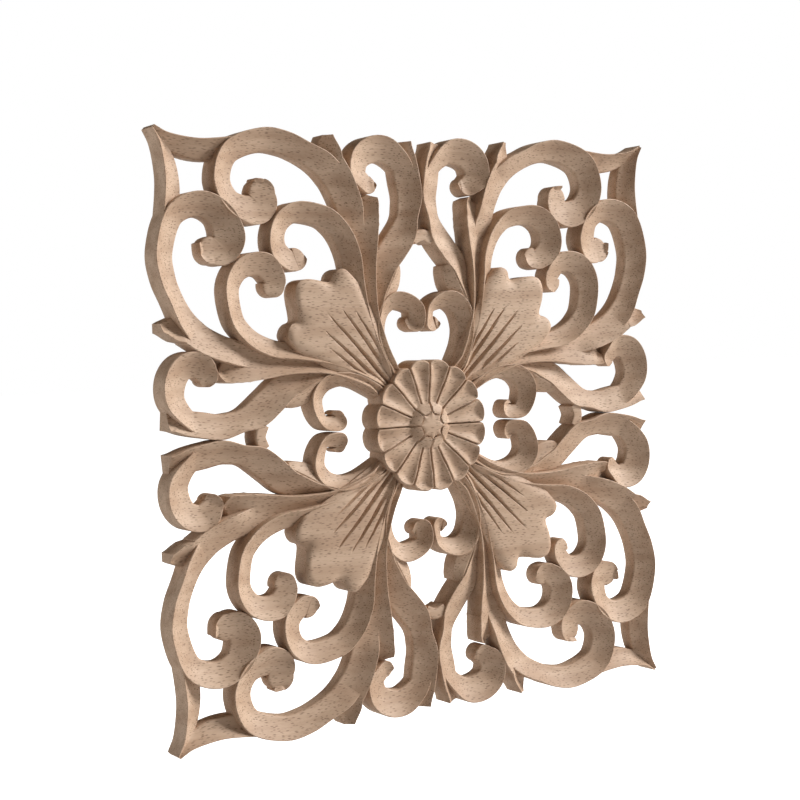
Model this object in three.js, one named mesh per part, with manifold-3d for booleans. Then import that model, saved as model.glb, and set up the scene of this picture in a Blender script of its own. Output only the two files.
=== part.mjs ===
// Carved wood applique: a square openwork panel of leaf scrolls round a rosette, carved from one glued-up
// board and fixed by its flat back.
//
// Row frame: millimetres, +X right, +Z up, the carving faces -Y, the flat back lies on y = 0 and the origin
// is the middle of the back. The pattern is drawn as the carver sees it: u right, v up, h out of the board.
// One eighth of it is drawn, between the upright centre line and the diagonal, and mirrored eight ways.

import * as THREE from "three";
import Module from "manifold-3d";
import { mergeVertices } from "three/addons/utils/BufferGeometryUtils.js";

// Heights above the flat back
const ROSETTE_HEIGHT = 10;
const LEAF_HEIGHT = 8.9;
const LEAF_ROOT_HEIGHT = 7.2;
const SCROLL_LOW = 5.1;
const VOLUTE_END_RIM = 6.4;
const SHOULDER_HEIGHT = 8;

// Every form is drawn down to this height and then planed flat at 0 with a cutter of the board's size
const ROUGH_BACK = -1;
const BOARD = 220;

// Rosette and leaf
const ROSETTE_RADIUS = 23.3;
const PETAL_COUNT = 16;
const PETAL_SCALLOP = 1.0;
const PETAL_GROOVE = 1.3;
const PETAL_HOLLOW = 1.4;
const PETAL_HOLLOW_RADIUS = 13;
const PETAL_RIM_RADIUS = 20.7;
const PETAL_EDGE_DROP = 0.9;
const BUTTON_RADIUS = 8;
const BUTTON_FLAT = 4.5;
const BUTTON_DROP = 2;
const LEAF_START = 17;
const VEIN_DEPTH = 1.5;
const VEIN_TURN = 44;
const VEIN_RUN_OUT = 16;

// Band sections: the steepest slope across a band, its least width, the turns of a rounded end, how far
// below its parent a band that emerges from it starts, and the share of a volute after which its rim falls
const STEEPEST = 0.7;
const MIN_WIDTH = 0.4;
const END_DEGREES = [0, 60];
const SUNK = 2.4;
const FALL_START = 0.8;

// Faceting: how far a flat facet may leave the true edge, and how finely the edge is first followed
const FACET_TOLERANCE = 0.6;
const STEPS_PER_STATION = 12;
const JOIN_TOLERANCE = 0.1;

// Points nearer than this are one point, and shorter lengths count as none
const SAME_POINT = 1e-4;
const NO_LENGTH = 1e-6;

// Stations of a volute: equal turns about its eye, each with the middle line's radius and the band's width.
function curl([eyeU, eyeV], startDeg, stepDeg, rows) {
  return rows.map(([radius, width], i) => {
    const angle = THREE.MathUtils.degToRad(startDeg + i * stepDeg);
    return [eyeU + radius * Math.cos(angle), eyeV + radius * Math.sin(angle), width];
  });
}

// Bands of one eighth. A path lists [u, v, width] along the middle line, from the rosette outwards. The band
// is high at its rim and slopes down to its low edge. rimSide is +1 where the rim is left of the path.
const BANDS = {
  stemAndBlade: {
    rim: 9.0,
    low: SCROLL_LOW,
    rimSide: 1,
    emerges: [0, 1],
    path: [
      [10.5, 16.5, 3.4], [16.1, 23.6, 4], [19.9, 32, 4.7], [22.2, 40.5, 4.8], [22.9, 50, 5.2],
      [23.2, 57.5, 6.5],
      [23.4, 64.5, 8.9], [24, 70.4, 11.4], [22.6, 74.8, 9.4], [21, 77.9, 6.2], [20.2, 79.9, 3.4],
    ],
  },
  frond: {
    rim: 9.0,
    low: SCROLL_LOW,
    rimSide: 1,
    emerges: [1.4, 2.8],
    path: [
      [23.4, 56, 4.6], [25.2, 64, 6.4], [27.6, 71.5, 8.4], [29.6, 78.3, 8.9], [32.6, 85, 9.6],
      [36.2, 90.4, 10.2],
      [36.5, 94.8, 8.2], [36.8, 98.2, 5], [36.8, 100.2, 3],
    ],
  },
  outerScroll: {
    rim: 9.0,
    low: SCROLL_LOW,
    rimSide: 1,
    endRim: VOLUTE_END_RIM,
    emerges: [1.6, 3],
    path: [
      [27.5, 72, 6], [30.2, 79.5, 8], [33.6, 85.6, 8.6], [39, 90.7, 7.8], [45.7, 94.2, 6.8], [53, 97, 7.3],
      ...curl([66.8, 83.6], 110, -51, [
        [15.1, 7.7], [11.8, 8.1], [9.8, 8.1], [8.7, 8.3], [8.9, 10],
      ]),
      [62, 76.9, 10.5], [60.9, 85.1, 9.4],
    ],
  },
  hookTip: {
    rim: VOLUTE_END_RIM,
    low: SCROLL_LOW,
    rimSide: 1,
    emerges: [0, 1],
    path: [[59.8, 82.2, 4.6], [61.9, 83.7, 3.2], [64.1, 84.9, 0.8]],
  },
  innerScroll: {
    rim: 8.8,
    low: SCROLL_LOW,
    rimSide: 1,
    endRim: VOLUTE_END_RIM,
    emerges: [0, 1],
    path: [
      [14.2, 14.5, 2.2], [17.3, 21, 2.6], [21.7, 30, 3.4], [25.1, 39.2, 4.2], [27.6, 50.4, 5.4],
      [28.8, 59, 6.1],
      [31.4, 65.6, 6.3], [35.1, 70.2, 6.4],
      ...curl([50.3, 65.2], 143, -43.5, [
        [13.1, 6.6], [9.2, 6.9], [7.6, 7.5], [6.8, 7.7], [7, 8], [7.2, 7.4],
      ]),
      [45.9, 59, 7.8],
    ],
  },
  edgeStem: {
    rim: 8.7,
    low: SCROLL_LOW,
    rimSide: 1,
    path: [
      [19.8, 38, 1.4], [18.5, 46.1, 3.7], [17.3, 51.3, 6.3], [15.6, 56.9, 8.8], [11.6, 61.9, 9.3],
      [7.5, 67.4, 9],
      [5.5, 73.2, 6.8], [4.2, 80, 8.2], [5, 86, 8.6], [6, 92, 8.2], [6.8, 96.2, 7], [7, 98.9, 6.2],
    ],
  },
  edgeScroll: {
    rim: 8.7,
    low: SCROLL_LOW,
    rimSide: 1,
    endRim: VOLUTE_END_RIM,
    emerges: [1.6, 3.2],
    path: [
      [5.6, 73.2, 6.4], [4.4, 80, 7.6], [4.8, 85.6, 7.2],
      ...curl([17.8, 88.6], 166, -43.5, [
        [10.8, 6.6], [8.6, 8.4], [7.4, 9.3], [7.3, 9.1], [6.9, 8.4], [5.6, 6.8],
      ]),
      [17.3, 84.2, 6.2],
    ],
  },
  heartScroll: {
    rim: 8.7,
    low: SCROLL_LOW,
    rimSide: -1,
    endRim: VOLUTE_END_RIM,
    emerges: [0, 1],
    path: [
      [10.2, 16.5, 3.8], [13.6, 22, 4.4], [16.6, 28.1, 4.6],
      ...curl([9.2, 37.6], -23, 43.5, [[9.2, 5], [7.6, 6], [6.9, 6.2], [6.2, 5.8], [6.9, 4.8], [6.4, 5.4]]),
      [7.2, 35.9, 5.2],
    ],
  },
  sideLobe: {
    rim: 6.6,
    low: 8.4,
    rimSide: 1,
    path: [[18.4, 40.7, 0.8], [15.8, 44.5, 3.5], [12.6, 49, 5.1], [10.8, 53.6, 3.9], [10, 56.2, 1.8]],
  },
  cornerBracket: {
    rim: 8.6,
    low: 5,
    rimSide: 1,
    path: [
      [72.3, 95.1, 6.8], [78.2, 94.2, 7.1], [84.5, 94, 6.7], [90.7, 95, 5.8], [96.4, 97.3, 3.6],
      [100.6, 100.6, 1.2],
    ],
  },
  shoulder: {
    rim: SHOULDER_HEIGHT,
    low: SHOULDER_HEIGHT,
    rimSide: 1,
    path: [[4, 65.3, 4], [1.8, 66.4, 4.2], [-0.5, 66.9, 3.8]],
  },
};

// Half of the leaf's outline from its tip, as [degrees from the diagonal, reach from the centre]
const LEAF_OUTLINE = [
  [0, 71.4], [2.6, 70.1], [4.4, 67.9], [6.3, 65.3], [8.4, 63.4], [10.4, 64.6], [12.8, 64.8],
  [14.8, 63.6], [16.8, 59],
];

// Veins of the leaf as [degrees from the diagonal, where the cut runs out]
const VEINS = [[0, 55.5], [5.35, 53], [9.4, 49]];

const wasm = await Module();
wasm.setup();

// A closed geometry as a solid that can be joined.
function solidOf(geometry) {
  geometry.deleteAttribute("normal");
  geometry.deleteAttribute("uv");
  const merged = mergeVertices(geometry, SAME_POINT);
  const mesh = new wasm.Mesh({
    numProp: 3,
    vertProperties: merged.attributes.position.array,
    triVerts: new Uint32Array(merged.index.array),
    tolerance: JOIN_TOLERANCE,
  });
  return new wasm.Manifold(mesh);
}

// Closed solid through equal rings of points: walls between neighbouring rings, and a fan at each end.
function loft(rings) {
  const points = rings.flat();
  const size = rings[0].length;
  const index = [];
  for (let r = 0; r + 1 < rings.length; r++) {
    for (let k = 0; k < size; k++) {
      const a = r * size + k;
      const b = r * size + ((k + 1) % size);
      index.push(a, b, b + size, a, b + size, a + size);
    }
  }
  const last = (rings.length - 1) * size;
  for (let k = 1; k + 1 < size; k++) {
    index.push(0, k + 1, k, last, last + k, last + k + 1);
  }
  const geometry = new THREE.BufferGeometry().setFromPoints(points);
  geometry.setIndex(index);
  return solidOf(geometry);
}

// Ends a volute's path in a half round of the last station's width, which reaches as far as that station.
function roundedEnd(path) {
  const [before, last] = path.slice(-2).map(([u, v]) => new THREE.Vector2(u, v));
  const width = path.at(-1)[2];
  const ahead = last.clone().sub(before).setLength(width / 2);
  const ends = END_DEGREES.map((degrees) => {
    const turn = THREE.MathUtils.degToRad(degrees);
    const place = last.clone().sub(ahead).addScaledVector(ahead, Math.sin(turn));
    return [place.x, place.y, width * Math.cos(turn)];
  });
  return [...path.slice(0, -1), ...ends];
}

// The two edges of a band at every fine step along its path.
function stepsOf(path) {
  const stations = path.map((station) => new THREE.Vector3(...station));
  const curve = new THREE.CatmullRomCurve3(stations, false, "catmullrom", 0.5);
  const count = (path.length - 1) * STEPS_PER_STATION;
  return Array.from({ length: count + 1 }, (_, i) => {
    const point = curve.getPoint(i / count);
    const ahead = curve.getPoint(Math.min(1, (i + 0.5) / count));
    const behind = curve.getPoint(Math.max(0, (i - 0.5) / count));
    const side = new THREE.Vector2(behind.y - ahead.y, ahead.x - behind.x).normalize();
    const middle = new THREE.Vector2(point.x, point.y);
    const half = Math.max(point.z, MIN_WIDTH) / 2;
    return {
      station: i / STEPS_PER_STATION,
      width: 2 * half,
      left: middle.clone().addScaledVector(side, half),
      right: middle.clone().addScaledVector(side, -half),
    };
  });
}

function distanceToChord(point, from, to) {
  const chord = to.clone().sub(from);
  const reach = point.clone().sub(from);
  return Math.abs(chord.cross(reach)) / Math.max(chord.length(), NO_LENGTH);
}

// The sections that keep both edges within the faceting tolerance, found by splitting at the worst step.
function sectionsOf(steps) {
  const first = steps[0];
  const last = steps.at(-1);
  let worst = 0;
  let at = 0;
  steps.forEach((step, i) => {
    const off = Math.max(
      distanceToChord(step.left, first.left, last.left),
      distanceToChord(step.right, first.right, last.right),
    );
    if (off > worst) {
      worst = off;
      at = i;
    }
  });
  const turnsBack = last.left.clone().sub(first.left).dot(steps[1].left.clone().sub(first.left)) < 0;
  if (worst < FACET_TOLERANCE && !turnsBack) return [first, last];
  const split = at > 0 && at < steps.length - 1 ? at : Math.floor(steps.length / 2);
  return [...sectionsOf(steps.slice(0, split + 1)).slice(0, -1), ...sectionsOf(steps.slice(split))];
}

// One band: its rim stands up from the back, and its face slopes down to the low edge. A band that grows out
// of another lies sunk in it and emerges between two stations. A volute's rim falls over its last part.
function bandSolid({ rim, low, rimSide, endRim = rim, emerges = [-2, -1], path }) {
  const end = path.length - 1;
  const drawn = endRim < rim ? roundedEnd(path) : path;
  const rings = sectionsOf(stepsOf(drawn)).map(({ left, right, width, station }) => {
    const [high, deep] = rimSide > 0 ? [left, right] : [right, left];
    const at = (across, height) => {
      const place = high.clone().lerp(deep, across);
      return new THREE.Vector3(place.x, place.y, height);
    };
    const fall = THREE.MathUtils.smoothstep(station, FALL_START * end, end);
    const sunk = SUNK * (1 - THREE.MathUtils.smoothstep(station, ...emerges));
    const rimHeight = THREE.MathUtils.lerp(rim, endRim, fall) - sunk;
    const drop = Math.min(rimHeight - low, STEEPEST * width);
    const lowHeight = rimHeight - drop;
    const ring = [at(0, ROUGH_BACK), at(0, rimHeight), at(1, lowHeight), at(1, ROUGH_BACK)];
    return rimSide > 0 ? ring : ring.reverse();
  });
  return loft(rings);
}

// Closed solid under a fan of columns round the centre, each a row of surface points from the centre out.
function fanSolid(columns) {
  const rows = columns[0].length;
  const below = (point) => new THREE.Vector3(point.x, point.y, ROUGH_BACK);
  const points = columns.flatMap((column) => [...column, ...column.map(below)]);
  const size = rows * 2;
  const index = [];
  for (let c = 0; c + 1 < columns.length; c++) {
    const a = c * size;
    const b = a + size;
    for (let r = 0; r + 1 < rows; r++) {
      index.push(a + r, a + r + 1, b + r + 1, a + r, b + r + 1, b + r);
      const [under, next] = [a + rows + r, b + rows + r];
      index.push(under, next + 1, under + 1, under, next, next + 1);
    }
    const tip = rows - 1;
    index.push(a + tip, a + rows + tip, b + rows + tip, a + tip, b + rows + tip, b + tip);
    index.push(a, b + rows, a + rows, a, b, b + rows);
  }
  const e = (columns.length - 1) * size;
  for (let r = 0; r + 1 < rows; r++) {
    index.push(r, rows + r, rows + r + 1, r, rows + r + 1, r + 1);
    index.push(e + r, e + rows + r + 1, e + rows + r, e + r, e + r + 1, e + rows + r + 1);
  }
  const geometry = new THREE.BufferGeometry().setFromPoints(points);
  geometry.setIndex(index);
  return solidOf(geometry);
}

function polar(radius, angle, height) {
  return new THREE.Vector3(radius * Math.cos(angle), radius * Math.sin(angle), height);
}

// The leaf's reach at an angle from the diagonal.
function leafReach(degrees) {
  const d = Math.abs(degrees);
  const next = LEAF_OUTLINE.findIndex(([angle]) => angle >= d);
  if (next <= 0) return LEAF_OUTLINE[0][1];
  const [a0, r0] = LEAF_OUTLINE[next - 1];
  const [a1, r1] = LEAF_OUTLINE[next];
  return THREE.MathUtils.mapLinear(d, a0, a1, r0, r1);
}

// Depth of the vein cut at a place on the leaf: a V that runs out at the vein's end.
function veinCut(degrees, radius) {
  const vein = VEINS.find(([angle]) => Math.abs(Math.abs(degrees) - angle) < 0.01);
  return vein ? VEIN_DEPTH * THREE.MathUtils.clamp((vein[1] - radius) / VEIN_RUN_OUT, 0, 1) : 0;
}

// One leaf on the diagonal: columns at the bends of its outline and at the bottom of each vein.
function leafSolid() {
  const half = [...LEAF_OUTLINE, ...VEINS].map(([angle]) => angle).filter((angle) => angle > 0);
  const angles = [...half.map((angle) => -angle), 0, ...half].sort((a, b) => a - b);
  const columns = angles.map((degrees) => {
    const angle = THREE.MathUtils.degToRad(45 + degrees);
    return [LEAF_START, VEIN_TURN, leafReach(degrees)].map((radius) => {
      const rise = THREE.MathUtils.smoothstep(radius, ROSETTE_RADIUS, VEIN_TURN);
      const height = THREE.MathUtils.lerp(LEAF_ROOT_HEIGHT, LEAF_HEIGHT, rise);
      return polar(radius, angle, height - veinCut(degrees, radius));
    });
  });
  return fanSolid(columns);
}

// The rosette: hollowed petals with a groove between neighbours, round a domed button with its own facets.
function rosetteSolid() {
  const count = PETAL_COUNT * 2;
  const columns = Array.from({ length: count }, (_, i) => {
    const angle = (i / count) * 2 * Math.PI;
    const groove = i % 2 === 0 ? PETAL_GROOVE : 0;
    const reach = ROSETTE_RADIUS - (groove ? PETAL_SCALLOP : 0);
    return [
      polar(BUTTON_FLAT, angle, ROSETTE_HEIGHT),
      polar(BUTTON_RADIUS, angle, ROSETTE_HEIGHT - BUTTON_DROP),
      polar(PETAL_HOLLOW_RADIUS, angle, ROSETTE_HEIGHT - PETAL_HOLLOW - groove),
      polar(PETAL_RIM_RADIUS, angle, ROSETTE_HEIGHT - groove),
      polar(reach, angle, ROSETTE_HEIGHT - PETAL_EDGE_DROP - groove / 2),
      polar(reach, angle, ROUGH_BACK),
    ];
  });
  return discSolid(columns);
}

// Closes a full round of columns with a small flat in the middle of the face and a flat back.
function discSolid(columns) {
  const rows = columns[0].length;
  const index = [];
  columns.forEach((_, c) => {
    const a = c * rows;
    const b = ((c + 1) % columns.length) * rows;
    for (let r = 0; r + 1 < rows; r++) {
      index.push(a + r, a + r + 1, b + r + 1, a + r, b + r + 1, b + r);
    }
    if (c > 0 && c + 1 < columns.length) {
      index.push(0, a, b, rows - 1, b + rows - 1, a + rows - 1);
    }
  });
  const geometry = new THREE.BufferGeometry().setFromPoints(columns.flat());
  geometry.setIndex(index);
  return solidOf(geometry);
}

// The same solid drawn in another eighth or quarter: signs flip an axis, swap exchanges u and v.
function mirrored(solid, signU, signV, swap) {
  const mesh = solid.getMesh();
  const points = [];
  for (let i = 0; i < mesh.numVert; i++) {
    const [u, v, h] = mesh.vertProperties.subarray(i * mesh.numProp, i * mesh.numProp + 3);
    const [x, y] = swap ? [v, u] : [u, v];
    points.push(new THREE.Vector3(x * signU, y * signV, h));
  }
  const index = [...mesh.triVerts];
  if (signU * signV * (swap ? -1 : 1) < 0) {
    for (let i = 0; i < index.length; i += 3) {
      [index[i + 1], index[i + 2]] = [index[i + 2], index[i + 1]];
    }
  }
  const geometry = new THREE.BufferGeometry().setFromPoints(points);
  geometry.setIndex(index);
  return solidOf(geometry);
}

function joined(solids) {
  return solids.reduce((sum, solid) => sum.add(solid));
}

// A solid with its underside planed flat at height 0.
function planed(solid) {
  const below = new THREE.BoxGeometry(BOARD, BOARD, BOARD).translate(0, 0, -BOARD / 2);
  return solid.subtract(solidOf(below));
}

// The whole panel in the carver's frame. Every part is planed before it is mirrored and joined.
function panelSolid() {
  const eighth = planed(joined(Object.values(BANDS).map(bandSolid)));
  const leaf = planed(leafSolid());
  const quarter = joined([eighth, mirrored(eighth, 1, 1, true), leaf]);
  const half = joined([quarter, mirrored(quarter, -1, 1, false)]);
  const whole = joined([half, mirrored(half, 1, -1, false), planed(rosetteSolid())]);
  return whole.decompose().sort((a, b) => b.volume() - a.volume())[0];
}

function geometryOf(solid) {
  const mesh = solid.getMesh();
  const geometry = new THREE.BufferGeometry();
  geometry.setAttribute("position", new THREE.BufferAttribute(new Float32Array(mesh.vertProperties), 3));
  geometry.setIndex(new THREE.BufferAttribute(new Uint32Array(mesh.triVerts), 1));
  return geometry;
}

const WOOD = new THREE.MeshStandardMaterial({ color: 0xc9a98c, roughness: 0.72, metalness: 0 });

const panel = new THREE.Mesh(geometryOf(panelSolid()), WOOD);
panel.name = "carved_panel";
panel.rotation.x = Math.PI / 2;

const applique = new THREE.Group();
applique.add(panel);

export default applique;
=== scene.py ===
# %% [markdown]
# A square openwork carving in pale hardwood, photographed from the left against white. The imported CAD
# model brings the true size. This script carves the same pattern finely, gives it its wood, and sets up
# the studio. Lengths are millimetres while carving, and metres once a mesh is placed.

import math

import bpy
import numpy as np
from mathutils import Matrix, Vector


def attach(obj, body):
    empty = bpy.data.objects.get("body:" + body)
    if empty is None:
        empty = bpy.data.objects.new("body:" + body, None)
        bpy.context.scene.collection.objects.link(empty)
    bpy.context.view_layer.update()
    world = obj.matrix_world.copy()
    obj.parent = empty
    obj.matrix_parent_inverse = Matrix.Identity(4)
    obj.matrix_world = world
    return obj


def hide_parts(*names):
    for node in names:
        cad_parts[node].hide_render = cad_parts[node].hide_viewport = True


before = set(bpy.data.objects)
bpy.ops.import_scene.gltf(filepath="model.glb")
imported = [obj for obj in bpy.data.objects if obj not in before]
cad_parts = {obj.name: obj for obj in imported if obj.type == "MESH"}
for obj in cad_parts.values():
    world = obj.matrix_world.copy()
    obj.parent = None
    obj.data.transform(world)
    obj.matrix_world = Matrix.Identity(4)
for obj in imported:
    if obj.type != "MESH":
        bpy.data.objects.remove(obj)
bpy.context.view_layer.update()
MM = 0.001

# %% [markdown]
# The camera comes first, because every shape is judged through it. The four corner tips and the rosette of
# the real panel fix where the photographer stood: about 0.56 m away, 33.5 degrees round to the left and a
# little above the middle. The lens is set for a square picture on a 36 mm sensor.

# %% Place the camera
PHOTO_SIDE_PX = 800
FOCAL_PX = 1598.0
SENSOR_MM = 36.0
TURN_FROM_PHOTO = (0.0300067, 0.5680218, 0.0464972)
PANEL_IN_VIEW_MM = (9.85338, -8.17599, -561.52846)
OPTICAL_CENTRE_PX = (401.4485, 401.9384)
CORNER_TIP_HEIGHT = 7.8


def panel_to_row():
    """Turns the carver's axes (right, up, out of the board) into the row's (+X, +Z, -Y)."""
    return Matrix(((1, 0, 0), (0, 0, -1), (0, 1, 0)))


def camera_pose():
    """The camera's turn and place in the row frame, from how the panel lies in its view."""
    turn = Vector(TURN_FROM_PHOTO)
    view_from_panel = Matrix.Rotation(turn.length, 3, turn.normalized())
    panel_from_view = view_from_panel.transposed()
    eye = -(panel_from_view @ Vector(PANEL_IN_VIEW_MM))
    rotation = panel_to_row() @ panel_from_view
    place = panel_to_row() @ (eye + Vector((0, 0, CORNER_TIP_HEIGHT)))
    return rotation, place * MM


camera_data = bpy.data.cameras.new("camera")
camera_data.sensor_width = SENSOR_MM
camera_data.lens = FOCAL_PX * SENSOR_MM / PHOTO_SIDE_PX
camera_data.shift_x = (PHOTO_SIDE_PX / 2 - OPTICAL_CENTRE_PX[0]) / PHOTO_SIDE_PX
camera_data.shift_y = (OPTICAL_CENTRE_PX[1] - PHOTO_SIDE_PX / 2) / PHOTO_SIDE_PX
camera = bpy.data.objects.new("camera", camera_data)
bpy.context.collection.objects.link(camera)
rotation, place = camera_pose()
camera.matrix_world = Matrix.Translation(place) @ rotation.to_4x4()
bpy.context.scene.camera = camera
print("camera at", [round(c, 4) for c in place], "lens", round(camera_data.lens, 2))

# %% [markdown]
# The pattern is drawn once, in the eighth between the upright centre line and the diagonal, and mirrored.
# Each scroll, lobe or blade is a band: a path with its width, high at one rim and hollowed down to the other
# edge, as a gouge leaves it. The same drawing makes the solid, so the two agree.

# %% The drawing: bands of one eighth
SCROLL_LOW = 5.1
VOLUTE_END_RIM = 6.4


def curl(eye, start_deg, step_deg, rows):
    """Stations of a volute: equal turns about its eye, each with a radius and the band's width."""
    stations = []
    for i, (radius, width) in enumerate(rows):
        angle = math.radians(start_deg + i * step_deg)
        stations.append((eye[0] + radius * math.cos(angle), eye[1] + radius * math.sin(angle), width))
    return stations


BANDS = {
    "stem_and_blade": dict(
        rim=9.0, low=SCROLL_LOW, rim_side=1, emerges=(0, 1),
        path=[(10.5, 16.5, 3.4), (16.1, 23.6, 4), (19.9, 32, 4.7), (22.2, 40.5, 4.8), (22.9, 50, 5.2),
              (23.2, 57.5, 6.5), (23.4, 64.5, 8.9), (24, 70.4, 11.4), (22.6, 74.8, 9.4), (21, 77.9, 6.2),
              (20.2, 79.9, 3.4)]),
    "frond": dict(
        rim=9.0, low=SCROLL_LOW, rim_side=1, emerges=(1.4, 2.8),
        path=[(23.4, 56, 4.6), (25.2, 64, 6.4), (27.6, 71.5, 8.4), (29.6, 78.3, 8.9), (32.6, 85, 9.6),
              (36.2, 90.4, 10.2), (36.5, 94.8, 8.2), (36.8, 98.2, 5), (36.8, 100.2, 3)]),
    "outer_scroll": dict(
        rim=9.0, low=SCROLL_LOW, rim_side=1, end_rim=VOLUTE_END_RIM, emerges=(1.6, 3),
        path=[(27.5, 72, 6), (30.2, 79.5, 8), (33.6, 85.6, 8.6), (39, 90.7, 7.8), (45.7, 94.2, 6.8),
              (53, 97, 7.3)]
        + curl((66.8, 83.6), 110, -51,
               [(15.1, 7.7), (11.8, 8.1), (9.8, 8.1), (8.7, 8.3), (8.9, 10)])
        + [(62, 76.9, 10.5), (60.9, 85.1, 9.4)]),
    "hook_tip": dict(
        rim=VOLUTE_END_RIM, low=SCROLL_LOW, rim_side=1, emerges=(0, 1),
        path=[(59.8, 82.2, 4.6), (61.9, 83.7, 3.2), (64.1, 84.9, 0.8)]),
    "inner_scroll": dict(
        rim=8.8, low=SCROLL_LOW, rim_side=1, end_rim=VOLUTE_END_RIM, emerges=(0, 1),
        path=[(14.2, 14.5, 2.2), (17.3, 21, 2.6), (21.7, 30, 3.4), (25.1, 39.2, 4.2), (27.6, 50.4, 5.4),
              (28.8, 59, 6.1), (31.4, 65.6, 6.3), (35.1, 70.2, 6.4)]
        + curl((50.3, 65.2), 143, -43.5,
               [(13.1, 6.6), (9.2, 6.9), (7.6, 7.5), (6.8, 7.7), (7, 8), (7.2, 7.4)])
        + [(45.9, 59, 7.8)]),
    "edge_stem": dict(
        rim=8.7, low=SCROLL_LOW, rim_side=1,
        path=[(19.8, 38, 1.4), (18.5, 46.1, 3.7), (17.3, 51.3, 6.3), (15.6, 56.9, 8.8), (11.6, 61.9, 9.3),
              (7.5, 67.4, 9), (5.5, 73.2, 6.8), (4.2, 80, 8.2), (5, 86, 8.6), (6, 92, 8.2), (6.8, 96.2, 7),
              (7, 98.9, 6.2)]),
    "edge_scroll": dict(
        rim=8.7, low=SCROLL_LOW, rim_side=1, end_rim=VOLUTE_END_RIM, emerges=(1.6, 3.2),
        path=[(5.6, 73.2, 6.4), (4.4, 80, 7.6), (4.8, 85.6, 7.2)]
        + curl((17.8, 88.6), 166, -43.5,
               [(10.8, 6.6), (8.6, 8.4), (7.4, 9.3), (7.3, 9.1), (6.9, 8.4), (5.6, 6.8)])
        + [(17.3, 84.2, 6.2)]),
    "heart_scroll": dict(
        rim=8.7, low=SCROLL_LOW, rim_side=-1, end_rim=VOLUTE_END_RIM, emerges=(0, 1),
        path=[(10.2, 16.5, 3.8), (13.6, 22, 4.4), (16.6, 28.1, 4.6)]
        + curl((9.2, 37.6), -23, 43.5,
               [(9.2, 5), (7.6, 6), (6.9, 6.2), (6.2, 5.8), (6.9, 4.8), (6.4, 5.4)])
        + [(7.2, 35.9, 5.2)]),
    "side_lobe": dict(
        rim=6.6, low=8.4, rim_side=1,
        path=[(18.4, 40.7, 0.8), (15.8, 44.5, 3.5), (12.6, 49, 5.1), (10.8, 53.6, 3.9), (10, 56.2, 1.8)]),
    "corner_bracket": dict(
        rim=8.6, low=5, rim_side=1,
        path=[(72.3, 95.1, 6.8), (78.2, 94.2, 7.1), (84.5, 94, 6.7), (90.7, 95, 5.8), (96.4, 97.3, 3.6),
              (100.6, 100.6, 1.2)]),
    "shoulder": dict(
        rim=8, low=8, rim_side=1, path=[(4, 65.3, 4), (1.8, 66.4, 4.2), (-0.5, 66.9, 3.8)]),
}
print(len(BANDS), "bands in one eighth")

# %% [markdown]
# A band's path is followed in fine steps, and only the steps that keep both edges true are kept. That gives
# close sections in a tight volute and long ones in a stem, so the mesh is light and its shading stays
# smooth. Where a turn is tighter than the band is wide, the inner edge is held so that it can't fold over.

# %% Follow a band's edges
STEPS_PER_STATION = 16
MIN_WIDTH = 0.4
LEAST_STEP = 0.004
NO_LENGTH = 1e-6
EDGE_TOLERANCE = 0.03
LONGEST_SECTION = 3.0
END_DEGREES = (0, 28, 52, 70, 83)


def catmull_rom(stations, per_station):
    """Points and headings on a uniform Catmull-Rom curve through the stations."""
    points = np.array(stations, float)
    padded = np.vstack([2 * points[0] - points[1], points, 2 * points[-1] - points[-2]])
    places, headings = [], []
    for i in range(len(points) - 1):
        a, b, c, d = padded[i:i + 4]
        last = i == len(points) - 2
        for k in range(per_station + (1 if last else 0)):
            t = k / per_station
            places.append(0.5 * (2 * b + (c - a) * t + (2 * a - 5 * b + 4 * c - d) * t * t
                                 + (3 * b - a - 3 * c + d) * t ** 3))
            headings.append(0.5 * ((c - a) + 2 * (2 * a - 5 * b + 4 * c - d) * t
                                   + 3 * (3 * b - a - 3 * c + d) * t * t))
    return np.array(places), np.array(headings)[:, :2]


def off_chord(points, start, end):
    """How far points stand off the chord between two of them."""
    chord = end - start
    reach = points - start
    return np.abs(chord[0] * reach[:, 1] - chord[1] * reach[:, 0]) / max(np.hypot(*chord), NO_LENGTH)


def kept_steps(left, right, first, last):
    """The steps between two that keep both edges within the tolerance, by splitting at the worst."""
    if last - first < 2:
        return [first, last]
    off = np.maximum(off_chord(left[first:last + 1], left[first], left[last]),
                     off_chord(right[first:last + 1], right[first], right[last]))
    middle = (left + right) / 2
    run = np.hypot(*(middle[last] - middle[first]))
    if off.max() < EDGE_TOLERANCE and run < LONGEST_SECTION:
        return [first, last]
    split = first + int(off.argmax())
    if split in (first, last):
        split = (first + last) // 2
    return kept_steps(left, right, first, split)[:-1] + kept_steps(left, right, split, last)


def rounded_end(path):
    """Ends a path in a half round of the last station's width, which reaches as far as that station."""
    (u0, v0, _), (u1, v1, width) = path[-2:]
    run = math.hypot(u1 - u0, v1 - v0)
    du, dv = (u1 - u0) / run, (v1 - v0) / run
    middle_u, middle_v = u1 - du * width / 2, v1 - dv * width / 2
    ends = []
    for degrees in END_DEGREES:
        ahead = width / 2 * math.sin(math.radians(degrees))
        ends.append((middle_u + du * ahead, middle_v + dv * ahead, width * math.cos(math.radians(degrees))))
    return path[:-1] + ends


def never_back(edge, ahead):
    """An edge whose points never step backwards, so that a tight turn pivots instead of folding over."""
    held = [edge[0]]
    for point, heading in zip(edge[1:], ahead[1:]):
        forward = (point - held[-1]) @ heading
        held.append(point if forward > LEAST_STEP else held[-1] + heading * LEAST_STEP)
    return np.array(held)


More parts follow.
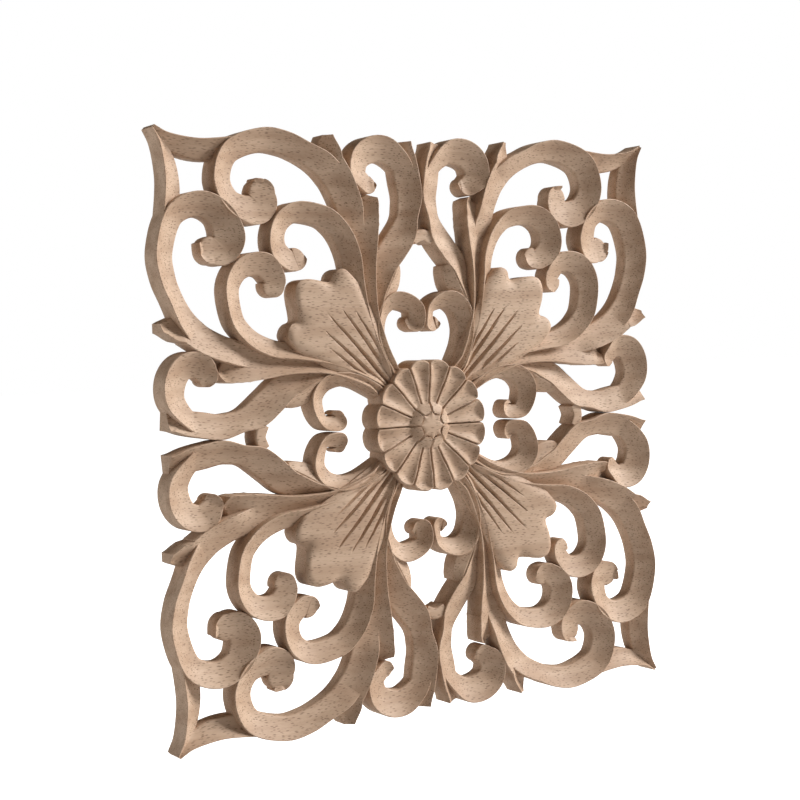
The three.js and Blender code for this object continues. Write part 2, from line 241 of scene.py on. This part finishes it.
def band_sections(path):
    """Left and right edge, width, and share of the run, at the kept steps of a band."""
    places, headings = catmull_rom(path, STEPS_PER_STATION)
    side = np.column_stack([-headings[:, 1], headings[:, 0]])
    side /= np.linalg.norm(side, axis=1)[:, None]
    ahead = np.column_stack([side[:, 1], -side[:, 0]])
    width = np.maximum(places[:, 2], MIN_WIDTH)
    left = never_back(places[:, :2] + side * width[:, None] / 2, ahead)
    right = never_back(places[:, :2] - side * width[:, None] / 2, ahead)
    keep = kept_steps(left, right, 0, len(places) - 1)
    return left[keep], right[keep], width[keep], np.array(keep) / STEPS_PER_STATION


# %% [markdown]
# Each section is the cut of the gouge: up the wall, over a rim softened by sanding, steeply down and
# then flatter to the low edge, which is sanded rounder. A loft through the sections closes into a solid.

# %% Carve one band
BACK_HEIGHT = 0.0
STEEPEST = 0.7
HOLLOW_POWER = 1.4
SUNK = 2.4
FALL_START = 0.8
SOFT_RIM = 0.3
SOFT_LOW = 0.9
MOST_SOFT_RIM = 0.1
MOST_SOFT_LOW = 0.2
RIM_CORNER = 0.3
LOW_CORNER_NEAR = 0.13
LOW_CORNER_FAR = 0.5
HOLLOW_POINTS = 7


def smoothstep(low, high, x):
    t = np.clip((x - low) / (high - low), 0, 1)
    return t * t * (3 - 2 * t)


def mesh_from(name, points, faces):
    mesh = bpy.data.meshes.new(name)
    mesh.from_pydata([tuple(p) for p in points], [], faces)
    mesh.update()
    return mesh


def loft(name, rings):
    """A closed mesh through equal rings of points, with a flat end at each side."""
    size = len(rings[0])
    faces = []
    for r in range(len(rings) - 1):
        for k in range(size):
            a, b = r * size + k, r * size + (k + 1) % size
            faces.append((a, b, b + size, a + size))
    last = (len(rings) - 1) * size
    faces.append(tuple(range(size))[::-1])
    faces.append(tuple(last + k for k in range(size)))
    return mesh_from(name, [p for ring in rings for p in ring], faces)


def gouge_cut(width, rim, low):
    """Across a band from rim to low edge: pairs of distance across and height."""
    crisp = min(SOFT_RIM, width * MOST_SOFT_RIM)
    soft = min(SOFT_LOW, width * MOST_SOFT_LOW)
    corner = crisp * RIM_CORNER
    cut = [(0, BACK_HEIGHT), (0, rim - crisp), (corner, rim - corner), (crisp, rim)]
    span = width - crisp - soft
    for t in np.linspace(0, 1, HOLLOW_POINTS)[1:]:
        drop = 1 - (1 - t) ** HOLLOW_POWER if rim > low else t
        cut.append((crisp + span * t, rim + (low - rim) * drop))
    near, far = soft * LOW_CORNER_NEAR, soft * LOW_CORNER_FAR
    cut += [(width - far, low - near), (width - near, low - far), (width, low - soft)]
    return cut + [(width, BACK_HEIGHT)]


def carve_band(name, rim, low, rim_side, path, end_rim=None, emerges=(-2, -1)):
    end = len(path) - 1
    left, right, widths, stations = band_sections(rounded_end(path) if end_rim else path)
    rings = []
    for lft, rgt, width, station in zip(left, right, widths, stations):
        high, deep = (lft, rgt) if rim_side > 0 else (rgt, lft)
        fall = 0 if end_rim is None else smoothstep(FALL_START * end, end, station)
        sunk = SUNK * (1 - smoothstep(*emerges, station))
        top = rim + ((end_rim or rim) - rim) * fall - sunk
        bottom = low if low > top else top - min(top - low, STEEPEST * width)
        ring = []
        for across, height in gouge_cut(width, top, bottom):
            place = high + (deep - high) * (across / width)
            ring.append((place[0], place[1], height))
        rings.append(ring if rim_side > 0 else ring[::-1])
    return loft(name, rings)


band_meshes = [carve_band(name, **band) for name, band in BANDS.items()]
print("band faces:", {m.name: len(m.polygons) for m in band_meshes})

# %% [markdown]
# The leaf is a flat blade with three rounded lobes, a softly rolled edge, a scoop at each notch between
# lobes, and five V-cut veins that fan out of the rosette and run out half way. It is made as a fan of
# columns round the panel's centre, because veins and outline both follow that fan.

# %% Carve the leaf
LEAF_HEIGHT = 8.9
LEAF_ROOT_HEIGHT = 7.2
LEAF_START = 21.0
LEAF_RISE_START = 22
LEAF_RISE_END = 44.0
LEAF_ROLL = 2.4
LEAF_ROLL_DROP = 0.9
NOTCH_AT = (8.4, 64.0)
NOTCH_RADIUS = 3.0
NOTCH_DEPTH = 1.3
LEAF_OUTLINE = [(0, 71.4), (1.3, 71.0), (2.6, 70.1), (4.4, 67.9), (6.3, 65.3), (8.4, 63.4), (10.4, 64.6),
                (12.8, 64.8), (14.8, 63.6), (16.8, 59)]
VEINS = [(0, 55.5), (5.35, 53), (9.4, 49)]
VEIN_DEPTH = 2.2
VEIN_HALF_WIDTH = 0.8
LEAF_SIDE_ROLL = 4.0
LEAF_SIDE_DROP = 1.3
VEIN_RUN_OUT = 22.0
VEIN_FADE_POWER = 0.5
LEAST_VEIN_FADE = 0.05
VEIN_LIPS = (-1.2, -0.8, -0.4, 0, 0.4, 0.8, 1.2)
LEAF_COLUMNS = 61
CLOSEST_COLUMNS = 0.18
LEAF_ROWS = 26
LEAF_EDGE_BAND = 3
DIAGONAL_DEGREES = 45
LEAF_EDGE_SHARES = np.array([0.2, 0.4, 0.6, 0.75, 0.88, 0.96, 1])


def leaf_reach(degrees):
    """The leaf's reach at an angle from the diagonal, rounded between the drawn points."""
    angles = np.array([a for a, _ in LEAF_OUTLINE])
    reaches = np.array([r for _, r in LEAF_OUTLINE])
    slopes = np.gradient(reaches, angles)
    slopes[0] = 0
    d = min(abs(degrees), angles[-1])
    i = max(0, min(int(np.searchsorted(angles, d)) - 1, len(angles) - 2))
    gap = angles[i + 1] - angles[i]
    t = (d - angles[i]) / gap
    return ((1 + 2 * t) * (1 - t) ** 2 * reaches[i] + t * (1 - t) ** 2 * gap * slopes[i]
            + t * t * (3 - 2 * t) * reaches[i + 1] + t * t * (t - 1) * gap * slopes[i + 1])


def leaf_height(degrees, radius, reach):
    rise = smoothstep(LEAF_RISE_START, LEAF_RISE_END, radius)
    height = LEAF_ROOT_HEIGHT + (LEAF_HEIGHT - LEAF_ROOT_HEIGHT) * rise
    for angle, end in VEINS:
        for signed in {angle, -angle}:
            fade = np.clip((end - radius) / VEIN_RUN_OUT, 0, 1) ** VEIN_FADE_POWER
            half = VEIN_HALF_WIDTH * max(fade, LEAST_VEIN_FADE)
            aside = abs(radius * math.sin(math.radians(degrees - signed)))
            height -= VEIN_DEPTH * fade * max(0.0, 1 - aside / half)
    roll = np.clip(1 - (reach - radius) / LEAF_ROLL, 0, 1)
    height -= LEAF_ROLL_DROP * roll * roll
    from_side = radius * math.sin(math.radians(LEAF_OUTLINE[-1][0] - abs(degrees)))
    side_roll = np.clip(1 - from_side / LEAF_SIDE_ROLL, 0, 1)
    height -= LEAF_SIDE_DROP * side_roll * side_roll
    for side in (-1, 1):
        apart = math.hypot(radius - NOTCH_AT[1], radius * math.radians(degrees - side * NOTCH_AT[0]))
        height -= NOTCH_DEPTH * math.exp(-((apart / NOTCH_RADIUS) ** 2))
    return height


def fan_solid(name, columns):
    """A closed mesh under a fan of columns of points: face, walls and a flat bottom."""
    rows = len(columns[0])
    points = [p for column in columns for p in column]
    count = len(points)
    points += [(p[0], p[1], BACK_HEIGHT) for p in points]
    faces = []
    for c in range(len(columns) - 1):
        for r in range(rows - 1):
            a, b = c * rows + r, (c + 1) * rows + r
            faces.append((a, a + 1, b + 1, b))
            faces.append((a + count, b + count, b + 1 + count, a + 1 + count))
        a, b = c * rows, (c + 1) * rows
        faces.append((a, b, b + count, a + count))
        a, b = a + rows - 1, b + rows - 1
        faces.append((a, a + count, b + count, b))
    last = (len(columns) - 1) * rows
    for r in range(rows - 1):
        faces.append((r, r + count, r + 1 + count, r + 1))
        faces.append((last + r, last + r + 1, last + r + 1 + count, last + r + count))
    return mesh_from(name, points, faces)


def carve_leaf():
    edge = LEAF_OUTLINE[-1][0]
    angles = list(np.linspace(-edge, edge, LEAF_COLUMNS))
    for angle, _ in VEINS:
        for signed in {angle, -angle}:
            angles += [signed + lip for lip in VEIN_LIPS]
    angles = sorted(angles)
    kept = [angles[0]]
    for angle in angles[1:]:
        if angle - kept[-1] > CLOSEST_COLUMNS:
            kept.append(angle)
    columns = []
    for degrees in kept:
        reach = leaf_reach(degrees)
        inner = np.linspace(LEAF_START, reach - LEAF_EDGE_BAND, LEAF_ROWS)
        radii = np.concatenate([inner, reach - LEAF_EDGE_BAND + LEAF_EDGE_BAND * LEAF_EDGE_SHARES])
        angle = math.radians(DIAGONAL_DEGREES + degrees)
        heights = [leaf_height(degrees, r, reach) for r in radii]
        columns.append([(r * math.cos(angle), r * math.sin(angle), h) for r, h in zip(radii, heights)])
    return fan_solid("leaf", columns)


leaf_mesh = carve_leaf()
print("leaf faces:", len(leaf_mesh.polygons))

# %% [markdown]
# The rosette is a daisy of sixteen petals round a button. A petal is hollowed inside a thin raised rim, with
# a V groove between neighbours. The button is a low dome with eight small petals round a flat middle.

# %% Carve the rosette
ROSETTE_RADIUS = 23.3
PETAL_COUNT = 16
PETAL_SCALLOP = 1.5
PETAL_RIM_HEIGHT = 9.55
PETAL_FOOT_HEIGHT = 8.2
PETAL_HOLLOW = 1.7
PETAL_GROOVE = 1.5
PETAL_GROOVE_HALF = 0.34
PETAL_RIM_WIDTH = 0.7
PETAL_END_RIM = 0.6
BUTTON_RADIUS = 8.2
BUTTON_TOP = 10.0
BUTTON_FLAT = 4.2
BUTTON_SCALLOP = 1.5
BUTTON_FALL = 1.9
BUTTON_GROOVE = 1.1
BUTTON_PETALS = 8
RIM_RISE_END = 0.75
HOLLOW_AT_FOOT = 0.35
HOLLOW_GROWS = (0.2, 0.85)
FULL_HOLLOW_HALF = 3.2
BOWL_POWER = 2.2
LEAST_BOWL_HALF = 0.3
END_SOFT = 0.5
SCALLOP_POWER = 2.4
BUTTON_EDGE_DROP = 0.1
BUTTON_STEP = 0.75
BUTTON_STEP_RUN = 0.4
BUTTON_DOME_POWER = 1.7
BUTTON_GROOVE_HALF = 0.5
BORDER_SHARES = (0, 0.025, 0.05, 0.08, 0.12, 0.17, 0.23, 0.31, 0.4)
BUTTON_ROWS = (0.6, 1.8, 3.0, 3.8, 4.2, 4.5, 4.9, 5.3, 5.8, 6.4, 7.0, 7.6)
BUTTON_SEAM = 0.15
PETAL_ROWS = 16
PETAL_ROWS_END = 19.5
PETAL_RIM_SHARES = (0.25, 0.5, 0.68, 0.8, 0.88, 0.94, 1)


def petal_height(radius, turn):
    """Height of the petals at a radius and an angle in radians: a bowl inside a rim, a groove between."""
    pitch = 2 * math.pi / PETAL_COUNT
    from_middle = (turn / pitch) % 1 - 0.5
    half = radius * math.sin(pitch / 2)
    border = half - abs(2 * from_middle) * half
    to_end = rosette_reach(turn) - radius
    out = (radius - BUTTON_RADIUS) / (ROSETTE_RADIUS - BUTTON_RADIUS)
    rim = PETAL_FOOT_HEIGHT + (PETAL_RIM_HEIGHT - PETAL_FOOT_HEIGHT) * smoothstep(0, RIM_RISE_END, out)
    inside = min(border - PETAL_RIM_WIDTH, to_end - PETAL_END_RIM)
    bowl = np.clip(inside / max(half - PETAL_RIM_WIDTH, LEAST_BOWL_HALF), 0, 1)
    growth = HOLLOW_AT_FOOT + (1 - HOLLOW_AT_FOOT) * smoothstep(*HOLLOW_GROWS, out)
    depth = PETAL_HOLLOW * growth * min(1, half / FULL_HOLLOW_HALF)
    height = rim - depth * (1 - (1 - bowl) ** BOWL_POWER)
    height -= PETAL_GROOVE * max(0.0, 1 - border / PETAL_GROOVE_HALF)
    if to_end < END_SOFT:
        height -= END_SOFT * (1 - to_end / END_SOFT) ** 2
    return height


def rosette_reach(turn):
    pitch = 2 * math.pi / PETAL_COUNT
    from_middle = (turn / pitch) % 1 - 0.5
    return ROSETTE_RADIUS - PETAL_SCALLOP * abs(2 * from_middle) ** SCALLOP_POWER


def button_height(radius, turn):
    """Height of the domed button: a flat middle, and small petals with their round ends inwards."""
    pitch = 2 * math.pi / BUTTON_PETALS
    from_middle = (turn / pitch) % 1 - 0.5
    aside = abs(2 * from_middle)
    inner = BUTTON_FLAT + BUTTON_SCALLOP * aside ** 3
    if radius < inner:
        return BUTTON_TOP - BUTTON_EDGE_DROP - BUTTON_STEP * math.exp(-(inner - radius) / BUTTON_STEP_RUN)
    slope = (radius - inner) / (BUTTON_RADIUS - inner)
    height = BUTTON_TOP - BUTTON_FALL * slope ** BUTTON_DOME_POWER
    border = (1 - aside) * radius * math.sin(pitch / 2)
    return height - BUTTON_GROOVE * max(0.0, 1 - border / BUTTON_GROOVE_HALF)


def rosette_angles():
    """Columns close together at the petal borders, where the grooves are."""
    pitch = 2 * math.pi / PETAL_COUNT
    shares = [*BORDER_SHARES, 0.5, *[1 - share for share in BORDER_SHARES[:0:-1]]]
    return [(i + s) * pitch for i in range(PETAL_COUNT) for s in shares]


def carve_rosette():
    angles = rosette_angles()
    inner = [*BUTTON_ROWS, BUTTON_RADIUS - BUTTON_SEAM]
    outer = list(np.linspace(BUTTON_RADIUS + BUTTON_SEAM, PETAL_ROWS_END, PETAL_ROWS))
    columns = []
    for turn in angles:
        reach = rosette_reach(turn)
        column = [(r, button_height(r, turn)) for r in inner]
        column += [(r, petal_height(r, turn)) for r in outer]
        rim = [PETAL_ROWS_END + (reach - PETAL_ROWS_END) * share for share in PETAL_RIM_SHARES]
        column += [(r, petal_height(r, turn)) for r in rim]
        column.append((reach, BACK_HEIGHT))
        columns.append([(r * math.cos(turn), r * math.sin(turn), h) for r, h in column])
    rows, count = len(columns[0]), len(columns)
    faces = []
    for c in range(count):
        a, b = c * rows, (c + 1) % count * rows
        faces += [(a + r, a + r + 1, b + r + 1, b + r) for r in range(rows - 1)]
    faces.append(tuple(c * rows for c in range(count)))
    faces.append(tuple(c * rows + rows - 1 for c in range(count))[::-1])
    return mesh_from("rosette", [p for column in columns for p in column], faces)


rosette_mesh = carve_rosette()
print("rosette faces:", len(rosette_mesh.polygons))

# %% [markdown]
# All pieces are one board, so they are joined into one solid: the bands of an eighth first, then its seven
# mirror images, the leaves and the rosette. The Manifold solver of the Boolean modifier is quick and keeps
# the result closed.

# %% Join everything into one board
def loose_object(mesh):
    thing = bpy.data.objects.new(mesh.name, mesh)
    bpy.context.collection.objects.link(thing)
    return thing


def joined(meshes):
    """The union of some meshes as a new mesh."""
    base = loose_object(meshes[0])
    others = [loose_object(mesh) for mesh in meshes[1:]]
    for other in others:
        step = base.modifiers.new("join", "BOOLEAN")
        step.solver = "MANIFOLD"
        step.operation = "UNION"
        step.object = other
    view = bpy.context.evaluated_depsgraph_get()
    result = bpy.data.meshes.new_from_object(base.evaluated_get(view))
    for thing in [base] + others:
        bpy.data.objects.remove(thing)
    return result


def turned(mesh, matrix, name):
    """A copy of a mesh through a matrix, with its faces kept outwards when the matrix mirrors."""
    copy = mesh.copy()
    copy.name = name
    copy.transform(matrix.to_4x4())
    if matrix.determinant() < 0:
        copy.flip_normals()
    return copy


SWAP = Matrix(((0, 1, 0), (1, 0, 0), (0, 0, 1)))
FLIP_RIGHT = Matrix(((-1, 0, 0), (0, 1, 0), (0, 0, 1)))
FLIP_UP = Matrix(((1, 0, 0), (0, -1, 0), (0, 0, 1)))

eighth = joined(band_meshes)
quarter = joined([eighth, turned(eighth, SWAP, "swapped"), leaf_mesh])
half = joined([quarter, turned(quarter, FLIP_RIGHT, "flipped")])
board = joined([half, turned(half, FLIP_UP, "lower"), rosette_mesh])
print("board faces:", len(board.polygons), "vertices:", len(board.vertices))

# %% Place the board in the row frame
SHARP_ANGLE = math.radians(32)

board.transform((panel_to_row() * MM).to_4x4())
board.shade_smooth()
board.set_sharp_from_angle(angle=SHARP_ANGLE)
panel = loose_object(board)
panel.name = "carved_wood"
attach(panel, "root")
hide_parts("carved_panel")

# %% [markdown]
# The wood is bare, sanded rubberwood: pale and pinkish, with fine brown pores that run along the grain. The
# grain runs level across the whole board. Solid textures, read at the point in space, make every cut surface
# show what it should: streaks on the face and dots on end grain.

# %% Wood material
LIGHT_WOOD = (0.60, 0.43, 0.305, 1)
DARK_WOOD = (0.42, 0.27, 0.175, 1)
PORE_COLOUR = (0.17, 0.095, 0.055, 1)
STREAK_SIZE = (8, 0.4)
FIGURE_SIZE = (60, 5)
PORE_SIZE = (2.4, 0.62)
PORE_DEPTH = 0.15
PORE_BUMP = 0.4
WOOD_ROUGHNESS = 0.6
WOOD_SPECULAR = 0.35
FIGURE_TO_TONE = (0.35, 0.65, 0.25, 1)
STREAK_TO_TONE = (0.52, 0.72, 0, 0.55)
PORE_TO_MASK = (0.14, 0.36, 0.7, 0)


def node_at(nodes, kind, **values):
    node = nodes.new(kind)
    for key, value in values.items():
        setattr(node, key, value)
    return node


def along_grain(nodes, links, size):
    """The place in the wood, measured in cells of a size along and across the grain."""
    place = node_at(nodes, "ShaderNodeTexCoord")
    mapping = node_at(nodes, "ShaderNodeMapping")
    along, across = size[0] * MM, size[1] * MM
    mapping.inputs["Scale"].default_value = (1 / along, 1 / across, 1 / across)
    links.new(place.outputs["Object"], mapping.inputs["Vector"])
    return mapping.outputs["Vector"]


def ranged(nodes, links, value, from_low, from_high, to_low=0.0, to_high=1.0):
    """A value carried from one range to another, and held there."""
    node = node_at(nodes, "ShaderNodeMapRange")
    node.inputs["From Min"].default_value = from_low
    node.inputs["From Max"].default_value = from_high
    node.inputs["To Min"].default_value = to_low
    node.inputs["To Max"].default_value = to_high
    links.new(value, node.inputs["Value"])
    return node.outputs["Result"]


def grain_noise(nodes, links, size, detail):
    noise = node_at(nodes, "ShaderNodeTexNoise")
    noise.inputs["Scale"].default_value = 1
    noise.inputs["Detail"].default_value = detail
    links.new(along_grain(nodes, links, size), noise.inputs["Vector"])
    return noise.outputs["Fac"]


def mixed(nodes, links, share, first, second):
    """A colour between two, each given as a colour or a socket."""
    mix = node_at(nodes, "ShaderNodeMix", data_type="RGBA")
    links.new(share, mix.inputs[0])
    for socket, colour in ((mix.inputs[6], first), (mix.inputs[7], second)):
        if isinstance(colour, tuple):
            socket.default_value = colour
        else:
            links.new(colour, socket)
    return mix.outputs[2]


def wood_material():
    material = bpy.data.materials.new("bare_rubberwood")
    material.use_nodes = True
    nodes, links = material.node_tree.nodes, material.node_tree.links
    shader = nodes["Principled BSDF"]
    shader.inputs["Roughness"].default_value = WOOD_ROUGHNESS
    shader.inputs["Specular IOR Level"].default_value = WOOD_SPECULAR

    figure = grain_noise(nodes, links, FIGURE_SIZE, 3)
    streak = grain_noise(nodes, links, STREAK_SIZE, 2)
    tone = mixed(nodes, links, ranged(nodes, links, figure, *FIGURE_TO_TONE), DARK_WOOD, LIGHT_WOOD)
    tone = mixed(nodes, links, ranged(nodes, links, streak, *STREAK_TO_TONE), tone, DARK_WOOD)

    pores = node_at(nodes, "ShaderNodeTexVoronoi")
    pores.inputs["Scale"].default_value = 1
    links.new(along_grain(nodes, links, PORE_SIZE), pores.inputs["Vector"])
    pore_mask = ranged(nodes, links, pores.outputs["Distance"], *PORE_TO_MASK)
    links.new(mixed(nodes, links, pore_mask, tone, PORE_COLOUR), shader.inputs["Base Color"])

    bump = node_at(nodes, "ShaderNodeBump", invert=True)
    bump.inputs["Strength"].default_value = PORE_BUMP
    bump.inputs["Distance"].default_value = PORE_DEPTH * MM
    links.new(pore_mask, bump.inputs["Height"])
    links.new(bump.outputs["Normal"], shader.inputs["Normal"])
    return material


panel.data.materials.clear()
panel.data.materials.append(wood_material())

# %% [markdown]
# The studio is plain: a pale floor far below, a white surround that lights only faintly and warmly, and one
# large soft light high on the right in front, so that slopes which face right or up are bright and those
# that face left are brown. Two weak lights fill the face and the walls on the left.

# %% Floor and light
FLOOR_DROP = 0.16
FLOOR_HALF = 6
WHITE = (1, 1, 1, 1)
WARM_BOUNCE = (1, 0.8, 0.62, 1)
SURROUND_LIGHT = 0.045
LIGHTS = [
    ("key", (2.05, -1.12, 1.35), 1.2, 98),
    ("front_fill", (-0.3, -1.4, 0.3), 1.2, 0.7),
    ("edge_fill", (-1.2, 0.35, 0.1), 0.8, 5),
]

floor_corners = [(x * FLOOR_HALF, y * FLOOR_HALF, 0) for x, y in ((-1, -1), (1, -1), (1, 1), (-1, 1))]
floor_mesh = mesh_from("floor", floor_corners, [(0, 1, 2, 3)])
floor = loose_object(floor_mesh)
floor.location.z = -FLOOR_DROP
floor_material = bpy.data.materials.new("pale_floor")
floor_material.use_nodes = True
floor_nodes, floor_links = floor_material.node_tree.nodes, floor_material.node_tree.links
floor_shader = floor_nodes["Principled BSDF"]
floor_shader.inputs["Base Color"].default_value = (0.9, 0.9, 0.9, 1)
floor_shader.inputs["Roughness"].default_value = 0.9
floor_shader.inputs["Emission Color"].default_value = WHITE
floor_seen = node_at(floor_nodes, "ShaderNodeLightPath")
floor_links.new(floor_seen.outputs["Is Camera Ray"], floor_shader.inputs["Emission Strength"])
floor_mesh.materials.append(floor_material)


def area_light(name, place, size, watts):
    """A round soft light that looks at the panel's middle."""
    light = bpy.data.lights.new(name, "AREA")
    light.shape = "DISK"
    light.size = size
    light.energy = watts
    thing = bpy.data.objects.new(name, light)
    thing.location = place
    thing.rotation_euler = (-Vector(place)).to_track_quat("-Z", "Y").to_euler()
    bpy.context.collection.objects.link(thing)


for row in LIGHTS:
    area_light(*row)

world = bpy.data.worlds.new("white_surround")
bpy.context.scene.world = world
world.use_nodes = True
sky_nodes, sky_links = world.node_tree.nodes, world.node_tree.links
surround = sky_nodes["Background"]
seen = node_at(sky_nodes, "ShaderNodeLightPath")
sky_tone = mixed(sky_nodes, sky_links, seen.outputs["Is Camera Ray"], WARM_BOUNCE, WHITE)
sky_links.new(sky_tone, surround.inputs["Color"])
strength = node_at(sky_nodes, "ShaderNodeMapRange")
strength.inputs["To Min"].default_value = SURROUND_LIGHT
strength.inputs["To Max"].default_value = 1.0
sky_links.new(seen.outputs["Is Camera Ray"], strength.inputs["Value"])
sky_links.new(strength.outputs["Result"], surround.inputs["Strength"])
bpy.context.scene.view_settings.view_transform = "Standard"
